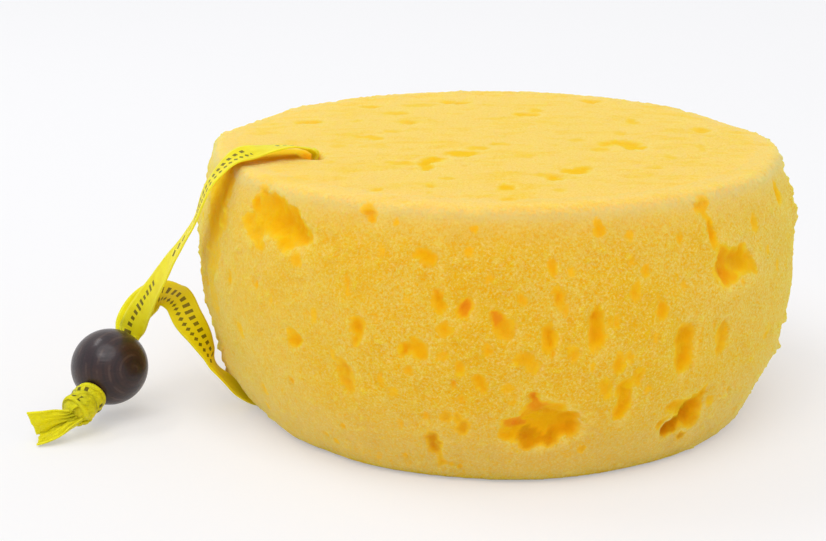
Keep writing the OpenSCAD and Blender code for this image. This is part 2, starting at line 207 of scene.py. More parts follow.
class Val:
    """An output of a node; arithmetic on it adds Math nodes."""

    def __init__(self, owner, socket):
        self.owner, self.socket = owner, socket

    def _math(self, operation, *values):
        return self.owner.node("Math", {"operation": operation}, dict(enumerate(values)))

    def __add__(self, other):
        return self._math("ADD", self, other)

    def __sub__(self, other):
        return self._math("SUBTRACT", self, other)

    def __rsub__(self, other):
        return self._math("SUBTRACT", other, self)

    def __mul__(self, other):
        return self._math("MULTIPLY", self, other)

    def __truediv__(self, other):
        return self._math("DIVIDE", self, other)

    __radd__, __rmul__ = __add__, __mul__

    def sine(self):
        return self._math("SINE", self)

    def size(self):
        return self._math("ABSOLUTE", self)

    def over(self, limit):
        return self._math("GREATER_THAN", self, limit)

    def under(self, limit):
        return self._math("LESS_THAN", self, limit)

    def wrapped(self, step):
        return self._math("WRAP", self, step, 0)

    def whole(self):
        return self._math("FLOOR", self)

    def top_of(self, other):
        return self._math("MAXIMUM", self, other)

    def ramp(self, low, high, a=0, b=1):
        return self.owner.node("MapRange", {"interpolation_type": "SMOOTHSTEP"},
                                {0: self, 1: low, 2: high, 3: a, 4: b})


class Nodes:
    """The nodes of a finish or of the room's light."""

    def __init__(self, tree):
        self.tree = tree

    def node(self, kind, settings=None, values=None, out=0):
        """Adds a node: its type, its settings, then its sockets' values or links."""
        made = self.tree.nodes.new("ShaderNode" + kind)
        for name, value in (settings or {}).items():
            setattr(made, name, value)
        for name, value in (values or {}).items():
            self.feed(made.inputs[name], value)
        return Val(self, made.outputs[out])

    def feed(self, socket, value):
        if isinstance(value, Val):
            self.tree.links.new(value.socket, socket)
        elif hasattr(value, "__len__") and len(value) == 3 and len(socket.default_value) == 4:
            socket.default_value = (*value, 1)
        else:
            socket.default_value = value

    def seen_rays(self):
        """1 for the rays that see the pale background, 0 for those that only light the object."""
        camera, glossy, clear = (
            self.node("LightPath", out=f"Is {kind} Ray") for kind in ("Camera", "Glossy", "Transmission"))
        return camera.top_of(glossy).top_of(clear)


class Finish(Nodes):
    """A material on the Principled shader."""

    def __init__(self, name, **fixed):
        self.material = bpy.data.materials.new(name)
        self.material.use_nodes = True
        super().__init__(self.material.node_tree)
        self.shader = self.tree.nodes["Principled BSDF"]
        self.shade(**fixed)

    def mix(self, factor, a, b):
        return self.node("Mix", {"data_type": "RGBA"}, {0: factor, 6: a, 7: b}, out=2)

    def place(self, scale=(1, 1, 1), turn=(0, 0, 0)):
        """Object coordinates in millimetres, stretched and turned for a pattern."""
        return self.node("Mapping", values={
            "Vector": self.node("TexCoord", out="Object"), "Rotation": turn,
            "Scale": tuple(s / MM for s in scale)})

    def mottle(self, where, scale, detail=2, rough=0.5):
        return self.node("TexNoise", values={
            "Vector": where, "Scale": scale, "Detail": detail, "Roughness": rough})

    def cells(self, where, scale):
        return self.node("TexVoronoi", values={"Vector": where, "Scale": scale})

    def attribute(self, name):
        """A layer of numbers kept on the piece's own vertices."""
        return self.node("Attribute", {"attribute_name": name}, out="Fac")

    def part(self, vector, axis):
        return self.node("SeparateXYZ", values={0: vector}, out=axis)

    def strip(self):
        """The ribbon's own UV map in millimetres, as (along, across)."""
        uv = self.node("UVMap", {"uv_map": "strip"})
        return self.part(uv, "X"), self.part(uv, "Y"), uv

    def bump(self, height, strength, distance):
        return self.node("Bump", values={"Height": height, "Strength": strength, "Distance": distance})

    def shade(self, **sockets):
        for name, value in sockets.items():
            self.feed(self.shader.inputs[name.replace("_", " ")], value)
        return self.material


def srgb(*channels):
    """A screen colour, each channel from 0 to 255, as the linear colour that a socket takes."""
    return tuple(((c / 255 + 0.055) / 1.055) ** 2.4 for c in channels)


# what the foam's skin keeps at each vertex for its colour
SKIN_LAYERS = ("hollow_and_shade", "tone", "lip", "rim", "above", "foot")


def foam_finish():
    f = Finish("yellow_foam", Roughness=0.95, Specular_IOR_Level=0, Sheen_Weight=0.04, Sheen_Roughness=0.6,
               Subsurface_Weight=0.9, Subsurface_Scale=0.008, Subsurface_Radius=(1, 0.7, 0.1))
    p = f.place()
    hollow_and_shade, tone, lip, rim, above, foot = (f.attribute(name) for name in SKIN_LAYERS)
    # soft clouds of paler and deeper foam
    clouds = f.mottle(p, 0.07, 3, 0.55)
    patches = f.mottle(p, 0.3)
    skin = f.mix(clouds.ramp(0.35, 0.65), srgb(235, 193, 50), srgb(236, 199, 74))
    skin = f.mix(patches.ramp(0.5, 0.75) * 0.5, skin, srgb(238, 186, 34))
    # greyer towards the base: painted shade where the foam meets the floor
    skin = f.mix(foot * 0.85, skin, srgb(226, 192, 98))
    # paler towards both sides: painted sheen where the side turns away from the view
    sideways = f.part(p, "X")
    skin = f.mix(sideways.size().ramp(25, 64) * 0.32, skin, srgb(238, 206, 118))
    # paler towards the rim, and palest on the top, with deeper streaks; the top's paleness is painted sheen of a face
    # seen at a low angle
    streaks = f.mottle(f.place(scale=(0.5, 1, 1)), 0.22, 3, 0.6)
    top = f.mix(streaks.ramp(0.46, 0.7), srgb(253, 201, 98), srgb(253, 195, 68))
    skin = f.mix(above.ramp(0.5, 1) * 0.8, skin, srgb(236, 205, 108))
    skin = f.mix(above.ramp(0.92, 1), skin, top)
    # upright clusters of torn cells, a millimetre or two across
    torn = f.mottle(f.place(scale=(1, 1, 0.55)), 0.62, 3, 0.6)
    skin = f.mix(torn.ramp(0.54, 0.68) * (1 - above.ramp(0.5, 1)) * 0.4, skin, srgb(240, 176, 16))
    skin = f.mix(torn.ramp(0.45, 0.32) * 0.3, skin, srgb(246, 210, 104))
    # the open cells, half a millimetre across and more, which show less on the left, the top and the foot
    grain = f.mottle(p, 2.0, 3, 0.75)
    coarse = sideways.ramp(-66, -15, 0.5, 1) * (1 - above.ramp(0.4, 1) * 0.6) * (1 - foot * 0.4)
    skin = f.mix(grain.ramp(0.48, 0.64) * coarse, skin, srgb(240, 178, 8))
    skin = f.mix(grain.ramp(0.5, 0.32) * 0.6 * coarse, skin, srgb(248, 220, 132))
    # the rim is paler and greyer, a painted highlight along its edge, and the lips on the right of the pores are
    # paler, painted light on their thin edges
    skin = f.mix(rim * f.mottle(p, 1.3).ramp(0.35, 0.65, 0.5, 1) * 0.9, skin, srgb(226, 204, 132))
    skin = f.mix(lip * f.mottle(p, 0.8).ramp(0.35, 0.6) * 0.4, skin, srgb(250, 218, 128))
    # light goes deep into the hollows and comes back orange; their edges are ragged
    ragged = hollow_and_shade + (f.mottle(p, 0.8, 3, 0.75) - 0.5) * 0.5 * hollow_and_shade.ramp(0, 0.2)
    redder = f.mix(tone.ramp(0.5, 1), srgb(255, 188, 10), srgb(252, 164, 24))
    warm = f.mix(tone.ramp(0.5, 0), redder, srgb(226, 158, 6))
    pale = f.mix(tone.ramp(0.5, 0), srgb(248, 194, 30), srgb(222, 172, 40))
    # softer and paler on the lit top
    lit = above.ramp(0.8, 1)
    skin = f.mix(ragged.ramp(0.04, 0.3) * 0.9, skin, f.mix(lit, pale, srgb(251, 196, 66)))
    skin = f.mix(ragged.ramp(0.22, 0.7), skin, f.mix(lit * 0.75, warm, srgb(251, 184, 26)))
    height = grain + f.cells(p, 1.3) * 0.5 + f.mottle(p, 0.7) * 0.4
    return f.shade(Base_Color=skin, Normal=f.bump(height, 0.55, 0.0006))


def ribbon_finish():
    f = Finish("satin_ribbon", Roughness=0.5, Specular_IOR_Level=0.12, Sheen_Weight=0.02,
               Sheen_Roughness=0.5, Subsurface_Weight=0.75, Subsurface_Scale=0.0025,
               Subsurface_Radius=(1, 0.9, 0.15))
    along, across, uv = f.strip()
    # fine ribs across the ribbon, and a firmer woven edge
    ribs = (along * 14).sine()
    edge = across.size().ramp(2.7, 3.2)
    tint = f.mottle(uv, 0.35)
    body = f.mix(tint.ramp(0.35, 0.7), srgb(246, 228, 26), srgb(238, 214, 14))
    body = f.mix(edge * 0.4, body, srgb(252, 240, 80))
    # the knot and the cut tails are darker and greener in patches: painted shade of their creases
    fold_shade = along.over(KNOT_RUN - 2) * along.under(LOWER_RUN - 6) * f.mottle(uv, 0.6).ramp(0.35, 0.6, 0.45, 1)
    body = f.mix(fold_shade, body, srgb(216, 204, 24))
    # the arch of the lower leg is darker: painted shade
    body = f.mix(along.ramp(324, 338) * along.ramp(364, 354) * 0.85, body, srgb(208, 184, 4))
    # where it comes out under the foam it takes the foam's warm light
    body = f.mix(along.ramp(312, 320) * along.ramp(340, 330) * 0.85, body, srgb(255, 212, 24))
    body = f.mix(marks(f, along, across) * 0.86, body, srgb(62, 54, 14))
    height = ribs * 0.25 + edge * 1.2 + f.mottle(uv, 3) * 0.6
    return f.shade(Base_Color=body, Normal=f.bump(height, 0.25, 0.0002))


# where each kind of mark shows: millimetres along the ribbon, from and to
bar_groups = [(32, 39), (46, 66), (90, 111.5), (334, 356), (201, 206), (209, 214), (218, 224)]
gem_groups = [(73.5, 80.5), (222, 228)]
dot_groups = [(45.5, 67), (333, 357)]
BAR_STEP, GEM_STEP, DOT_STEP = 1.7, 2.6, 1.4


def marks(f, along, across):
    """Short groups of made-up marks along the ribbon: uneven bars, diamonds and small dots."""
    def within(groups):
        shown = 0
        for first, last in groups:
            shown = along.over(first) * along.under(last) + shown
        return shown

    def off_middle(step):
        return (along.wrapped(step) - step / 2).size()

    uneven = f.node("TexWhiteNoise", {"noise_dimensions": "1D"}, {"W": (along / BAR_STEP).whole()})
    bars = off_middle(BAR_STEP).under(0.42) * (across - 0.9).size().under(uneven * 0.5 + 0.5)
    gems = (off_middle(GEM_STEP) + (across - 0.3).size()).under(1.05)
    dots = (off_middle(DOT_STEP) + (across + 1.5).size() * 0.7).under(0.5)
    return (bars * within(bar_groups)).top_of(gems * within(gem_groups)).top_of(dots * within(dot_groups))


def bead_finish():
    f = Finish("dark_wood", Specular_IOR_Level=0.28, Coat_Weight=0.27, Coat_Roughness=0.12)
    # a few faint growth rings round a heart off to the right, among finer fibres
    heart = f.node("Mapping", values={
        "Vector": f.place(), "Location": tuple(-c for c in BEAD_AT + Vector((7, -6, 1)))})
    rings = f.node("TexWave", {"wave_type": "RINGS", "rings_direction": "SPHERICAL"}, {
        "Vector": heart, "Scale": 0.13, "Distortion": 3.5, "Detail": 3, "Detail Scale": 0.3, "Detail Roughness": 0.6})
    fibres = f.mottle(f.place(scale=(0.35, 2.4, 2.4), turn=(0.5, 0.9, 0.2)), 0.9, 3, 0.6)
    blush = f.mottle(f.place(), 0.12)
    worn = f.mottle(f.place(), 0.3)
    wood = f.mix(blush.ramp(0.4, 0.65), srgb(40, 24, 29), srgb(53, 32, 28))
    wood = f.mix(rings.ramp(0.8, 1) * worn.ramp(0.4, 0.6) * 0.4, wood, srgb(88, 68, 60))
    wood = f.mix(rings.ramp(0.25, 0) * 0.5, wood, srgb(27, 18, 21))
    wood = f.mix(fibres.ramp(0.55, 0.75) * 0.5, wood, srgb(26, 18, 21))
    wood = f.mix(fibres.ramp(0.42, 0.28) * 0.3, wood, srgb(66, 48, 46))
    return f.shade(Base_Color=wood, Roughness=fibres.ramp(0.3, 0.7, 0.3, 0.46),
                   Normal=f.bump(rings * 0.3 + fibres * 0.7, 0.25, 0.0002))


def floor_finish():
    """A pale floor that keeps soft shadows and is lifted to white only for the rays that see it."""
    f = Finish("pale_floor", Base_Color=srgb(244, 244, 246), Roughness=0.9, Specular_IOR_Level=0.1)
    glow = f.node("Emission", values={"Color": srgb(248, 248, 250), "Strength": 1})
    shown = f.node("MixShader", values={0: f.seen_rays() * 0.4, 1: Val(f, f.shader.outputs[0]), 2: glow})
    f.feed(f.tree.nodes["Material Output"].inputs[0], shown)
    return f.material


# ---- making

def mesh_object(name, bm, *materials):
    mesh = bpy.data.meshes.new(name)
    bm.to_mesh(mesh)
    bm.free()
    for material in materials:
        mesh.materials.append(material)
    return put(name, mesh)


def new_piece(name, bm, material, replaced):
    """Makes a piece of a bmesh, which rides on the only body and stands for a node."""
    piece = mesh_object(name, bm, material)
    piece.data.shade_smooth()
    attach(piece, "root")
    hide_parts(replaced)
    return piece


def curve_through(rows, t):
    """A smooth curve through rows of (place, width direction, share), t from 0 to 1."""
    last = len(rows) - 1
    s = t * last
    i = min(int(s), last - 1)
    s -= i
    a, b, c, d = (rows[min(max(i + k, 0), last)] for k in (-1, 0, 1, 2))

    def blend(k):
        va, vb, vc, vd = (Vector(r[k]) if k < 2 else r[k] for r in (a, b, c, d))
        return (vb * 2 + (vc - va) * s + (va * 2 - vb * 5 + vc * 4 - vd) * s ** 2
                + (vb * 3 - va - vc * 3 + vd) * s ** 3) * 0.5

    return blend(0), blend(1), min(max(blend(2), 0.1), 1.05)


FINE_STEPS = 600


def sweep_rings(rows, step):
    """Evenly spaced rings along a route: place, across, share, run, out."""
    fine = [curve_through(rows, i / FINE_STEPS) for i in range(FINE_STEPS + 1)]
    runs = [0]
    for a, b in zip(fine, fine[1:]):
        runs.append(runs[-1] + (b[0] - a[0]).length)
    count = int(runs[-1] / step)
    rings, j = [], 0
    for i in range(count + 1):
        want = runs[-1] * i / count
        while j < FINE_STEPS - 1 and runs[j + 1] < want:
            j += 1
        place, across, share = (
            part_way(x, y, (want - runs[j]) / max(runs[j + 1] - runs[j], 1e-9))
            for x, y in zip(fine[j], fine[j + 1]))
        rings.append([place, across, share, want])
    for i, ring in enumerate(rings):
        along = (rings[min(i + 1, count)][0] - rings[max(i - 1, 0)][0]).normalized()
        ring[1] = square_to(ring[1], along)
        ring.append(along.cross(ring[1]))
    return rings


def ribbon_strip(rings, width, across_count, pleat, run_start):
    """A woven strip through the rings, with its own UV map in millimetres."""
    bm = bmesh.new()
    strip = bm.loops.layers.uv.new("strip")
    count = len(rings) - 1
    bmesh.ops.create_grid(bm, x_segments=count, y_segments=across_count, size=0.5)
    where = {}
    for v in bm.verts:
        place, across, share, run, out = rings[round((v.co.x + 0.5) * count)]
        u = v.co.y * 2
        where[v] = (run_start + run, u * width / 2)
        v.co = (place + across * (width * share / 2 * u) + out * pleat(u, share, run)) * MM
    for face in bm.faces:
        for loop in face.loops:
            loop[strip].uv = where[loop.vert]
    bmesh.ops.recalc_face_normals(bm, faces=bm.faces)
    return bm


satin = ribbon_finish()


def ribbon_band(name, rings, width, across_count, pleat, run_start, replaced):
    """A strip with the ribbon's finish and thickness."""
    bm = ribbon_strip(rings, width, across_count, pleat, run_start)
    piece = new_piece(name, bm, satin, replaced)
    solid = piece.modifiers.new("thickness", "SOLIDIFY")
    solid.thickness = RIBBON_T * MM
    solid.offset = 0
    return piece


def soft_pleat(seed):
    """Height of a strip's section: cupped and pleated where the ribbon is gathered."""
    def lift(u, share, run):
        gather = max(1 - share, 0)
        wander = 0.12 * noise.noise(Vector((run * 0.16, seed, 0)))
        return (0.2 * gather * RIBBON_W * (0.5 - u * u)
                + gather * 0.9 * math.cos(2.2 * math.pi * u + seed)
                + wander * u * 1.6)
    return lift


# how far apart the rings of the legs and of the knot's bands are
LEG_STEP, KNOT_STEP = 0.7, 0.3


def ribbon_leg(name, rows, exit_at, seed, run_start):
    rings = sweep_rings(rows, LEG_STEP)
    piece = ribbon_band(name, rings, RIBBON_W, 12, soft_pleat(seed), run_start, "ribbon")
    rings[-1][3] * MM
    [tuple(r[0] * MM) for r in rings]


ribbon_leg("ribbon_upper_leg", upper_leg[::-1], in_slit(0)[0], seed=1, run_start=0)
ribbon_leg("ribbon_lower_leg", lower_leg, (SIDE + 8, -17, 4), seed=4, run_start=LOWER_RUN)


# ---- knot

KNOT_AT = BEAD_AT + BORE * (BORE_END + KNOT_LEN / 2)
KNOT_TIP = BEAD_AT + BORE * (BORE_END + KNOT_LEN * 0.86)
# height of a tail that lies on the floor
LAID_Z = 0.3


def drop(t):
    """Height from the knot's tip at a share of the way down to the floor."""
    return part_way(KNOT_TIP.z, LAID_Z, t) - KNOT_TIP.z


def tip(x, y, z):
    return KNOT_TIP + Vector((x, y, z))


# rows of the two cut tails, which fall to the floor
tails = [
    [
        (tip(0.4, 0.3, 0.2), (-0.3, -0.3, 0.9), 0.42),
        (tip(-1.8, -1.2, drop(0.02)), (-0.3, -0.3, 0.9), 0.5),
        (tip(-4.2, -1.8, drop(0.08)), (-0.2, -0.35, 0.95), 0.75),
        (tip(-7.2, -1.9, drop(0.2)), (-0.1, -0.4, 0.9), 0.95),
        (tip(-9.8, -1.8, drop(0.28)), (-0.1, -0.4, 0.9), 1),
    ],
    [
        (tip(0.6, 0, -0.5), (0.2, 0.8, 0.5), 0.42),
        (tip(-1.4, -1.4, drop(0.25)), (0.1, 0.8, 0.5), 0.5),
        (tip(-3.4, -2.2, drop(0.48)), (-0.1, 0.85, 0.4), 0.7),
        (tip(-5.8, -2.6, drop(0.7)), (-0.2, 0.9, 0.3), 0.85),
        (tip(-8.2, -2.7, drop(0.86)), (-0.2, 0.9, 0.1), 0.95),
    ],
]


WRAP_ROWS = 28


def wrap_rows(centre, axis, start, radius, turn, shift, tilt):
    """Rows of a band wound round an axis: it lies on a ball, leans by tilt and is gathered at its ends."""
    axis = axis.normalized()
    side = square_to(start, axis)
    other = axis.cross(side)
    rows = []
    for i in range(WRAP_ROWS):
        t = i / (WRAP_ROWS - 1)
        a = math.radians(part_way(*turn, t))
        lean = part_way(*shift, t) + tilt * math.sin(a)
        round_it = side * math.cos(a) + other * math.sin(a)
        reach = math.sqrt(max(radius * radius - lean * lean * 0.6, 1))
        place = centre + axis * lean + round_it * (reach - 0.5 * abs(2 * t - 1) ** 6)
        normal = (place - centre).normalized()
        path = -side * math.sin(a) + other * math.cos(a)
        rows.append((place, normal.cross(path), 1 - 0.3 * abs(2 * t - 1) ** 3))
    return rows


def creased(seed):
    """Lift of a gathered band: lengthwise creases, with its edges tucked in."""
    def lift(u, share, run):
        wander = noise.noise(Vector((run * 0.25, seed, u)))
        crease = abs(math.sin(3.2 * u + 1.2 * wander + seed))
        return 0.28 * crease - 0.5 * u ** 6 + 0.2 * wander
    return lift


def frayed_pleat(seed):
    """Lift of a cut tail: deep pleats at the knot that open out and stay crumpled."""
    def lift(u, share, run):
        gather = 1.05 - share
        wander = noise.noise(Vector((run * 0.3, seed, u * 1.5)))
        return (0.9 * gather * math.cos(4.2 * math.pi * u + seed) + 0.16 * math.cos(7 * u + 0.7 * run + seed)
                + 0.35 * wander + 0.5 * gather * (0.5 - u * u))
    return lift


def knot_core():
    """The knot's folded body."""
    bm = bmesh.new()
    bmesh.ops.create_icosphere(bm, subdivisions=5, radius=1)
    turn = BORE.to_track_quat("Z", "Y").to_matrix().to_4x4()
    for v in bm.verts:
        swell = 1 + 0.07 * noise.noise(v.co * 2.2 + Vector((3, 1, 0)))
        fold = 0.07 * abs(math.sin(5 * v.co.x + 4 * v.co.z + 2 * noise.noise(v.co * 1.6))) * (1 - v.co.z ** 4)
        v.co = v.co * (swell + fold)
    shape = Matrix.Diagonal((KNOT_D / 2 * 0.9, KNOT_D / 2 * 0.9, KNOT_LEN / 2 * 0.95, 1))
    bmesh.ops.transform(bm, verts=bm.verts, matrix=Matrix.Scale(MM, 4) @ Matrix.Translation(KNOT_AT)
                        @ turn @ shape)
    strip = bm.loops.layers.uv.new("strip")
    for face in bm.faces:
        for loop in face.loops:
            off = loop.vert.co / MM - KNOT_AT
            loop[strip].uv = (off.dot(ACROSS) + KNOT_RUN + 32, off.dot(BORE))
    new_piece("knot_core", bm, satin, "ribbon_knot")


def knot_band(name, rows, width, across_count, pleat, run_start):
    rings = sweep_rings(rows, KNOT_STEP)
    ribbon_band(name, rings, width, across_count, pleat, KNOT_RUN + run_start, "ribbon_knot")


def knot_wraps():
    """The bands round the knot: a collar under the bead, a wrap, and one that crosses it."""
    collar = wrap_rows(KNOT_AT - BORE * 2.2, BORE, ACROSS, 3.45, (-20, 350), (0, 0.2), 0.4)
    wrap = wrap_rows(KNOT_AT + BORE * 0.9, BORE + ACROSS * 0.6, BESIDE, 3.55, (-60, 260), (-0.3, 0.7), 0.4)
    cross = wrap_rows(KNOT_AT + BORE * 0.6, BORE - ACROSS * 0.75 + BESIDE * 0.2, ACROSS, 3.5,
                      (-150, 120), (0.5, -0.4), 0.3)
    for name, rows, width, seed, run_start in (
            ("collar", collar, 3.6, 1, 0), ("wrap", wrap, 4.6, 2, 14), ("cross", cross, 4.2, 4, 28)):
        knot_band("knot_" + name, rows, width, 16, creased(seed), run_start)


knot_core()
knot_wraps()
for i, rows in enumerate(tails):
    knot_band(f"knot_tail_{i + 1}", rows, RIBBON_W, 24, frayed_pleat(2 + i), 40 + 20 * i)


# ---- foam

def remeshed(bm, voxel):
    """The bmesh as one even skin of small faces."""
    carrier = mesh_object("skin", bm)
    remesh = carrier.modifiers.new("skin", "REMESH")
    remesh.mode = "VOXEL"
    remesh.voxel_size = voxel
    skin = bmesh.new()
    shown = carrier.evaluated_get(bpy.context.evaluated_depsgraph_get())
    skin.from_mesh(shown.to_mesh())
    bpy.data.meshes.remove(carrier.data)
    return skin


# how far the drum's wall draws in at the top and the base, where it is widest, and how uneven it is
TOP_INSET, BASE_INSET, WIDEST_Z = 4.8, 9.5, 34
UNEVEN = 0.3
# swells and dents of the outline: degrees right of the front, height, reach, amount
swells = [
    (79, 48, 5, 1.0),
    (72, 17, 4, 0.9),
    (66, 9, 6, -1.2),
    (-82, 33, 9, -0.6),
    (-72, 13, 7, 1.2),
    (-40, 2, 7, -1.0),
    (104, 58, 14, -0.8),
    (150, 20, 12, 1.0),
    (-140, 46, 12, -0.9),
]


def drum_r(a, z):
    """Radius of the uncut drum at an angle and a height."""
    if z > WIDEST_Z:
        plain = -SIDE - TOP_INSET * ((z - WIDEST_Z) / (FOAM_H - WIDEST_Z)) ** 2
    else:
        plain = -SIDE - BASE_INSET * ((WIDEST_Z - z) / WIDEST_Z) ** 2
    waves = (math.sin(math.radians(3 * a + 2 * z)) + 0.7 * math.sin(math.radians(7 * a - 5 * z + 40))
             + 0.5 * math.sin(math.radians(11 * a + 9 * z)))
    swell = 0
    for at, height, reach, amount in swells:
        across = 2 * -SIDE * math.sin(math.radians(a - at) / 2)
        swell += amount * math.exp(-(across ** 2 + (z - height) ** 2) / reach ** 2)
    return plain + UNEVEN * waves + swell


def drum_shift():
    """How far the uneven drum is off its own centre."""
    raw = [(drum_r(a, z) * math.sin(math.radians(a)), -drum_r(a, z) * math.cos(math.radians(a)))
           for a in range(0, 360, 3) for z in range(4, 60, 3)]
    return tuple((max(p[k] for p in raw) + min(p[k] for p in raw)) / 2 for k in (0, 1))


SHIFT = drum_shift()


# how far from the slit, and from the ribbon's groove in the base, the skin keeps the CAD node's shape
SLIT_CLEAR, GROOVE_CLEAR, GROOVE_TOP = 6.5, 9, 9


def beside_ribbon(p):
    """True near the slit through the foam and the ribbon's groove under it."""
    way = SLIT_TOP.lerp(SLIT_BASE, 1 - share_of(p.z, 0, FOAM_H))
    if math.hypot(p.x - way.x, p.y - way.y) < SLIT_CLEAR:
        return True
    off_groove = abs(p.y + 11 - 0.6 * (p.x - SIDE - 15))
    return p.z < GROOVE_TOP and p.x < SIDE + 30 and off_groove < GROOVE_CLEAR


# the share of a CAD pore's depth that is kept, and the size of the new skin's faces
KEPT_DEPTH = 0.22
SKIN_VOXEL = 0.815


def flattened(bm):
    """Draws the CAD pores up to a shallow trace, which the torn pores below are pressed into."""
    for v in bm.verts:
        p = v.co / MM
        if beside_ribbon(p):
            continue
        x, y = p.x + SHIFT[0], p.y + SHIFT[1]
        reach = math.hypot(x, y)
        wall = drum_r(math.degrees(math.atan2(x, -y)), p.z) - reach
        lid = FOAM_H - p.z
        if lid < 3.2 and wall > 5:
            v.co.z += max(lid - 0.05, 0) * (1 - KEPT_DEPTH) * MM
        elif p.z < 3 and wall > 5:
            continue
        elif 0.3 < wall < 12:
            grow = (reach + wall * (1 - KEPT_DEPTH)) / reach
            v.co.x, v.co.y = (x * grow - SHIFT[0]) * MM, (y * grow - SHIFT[1]) * MM
    return bm


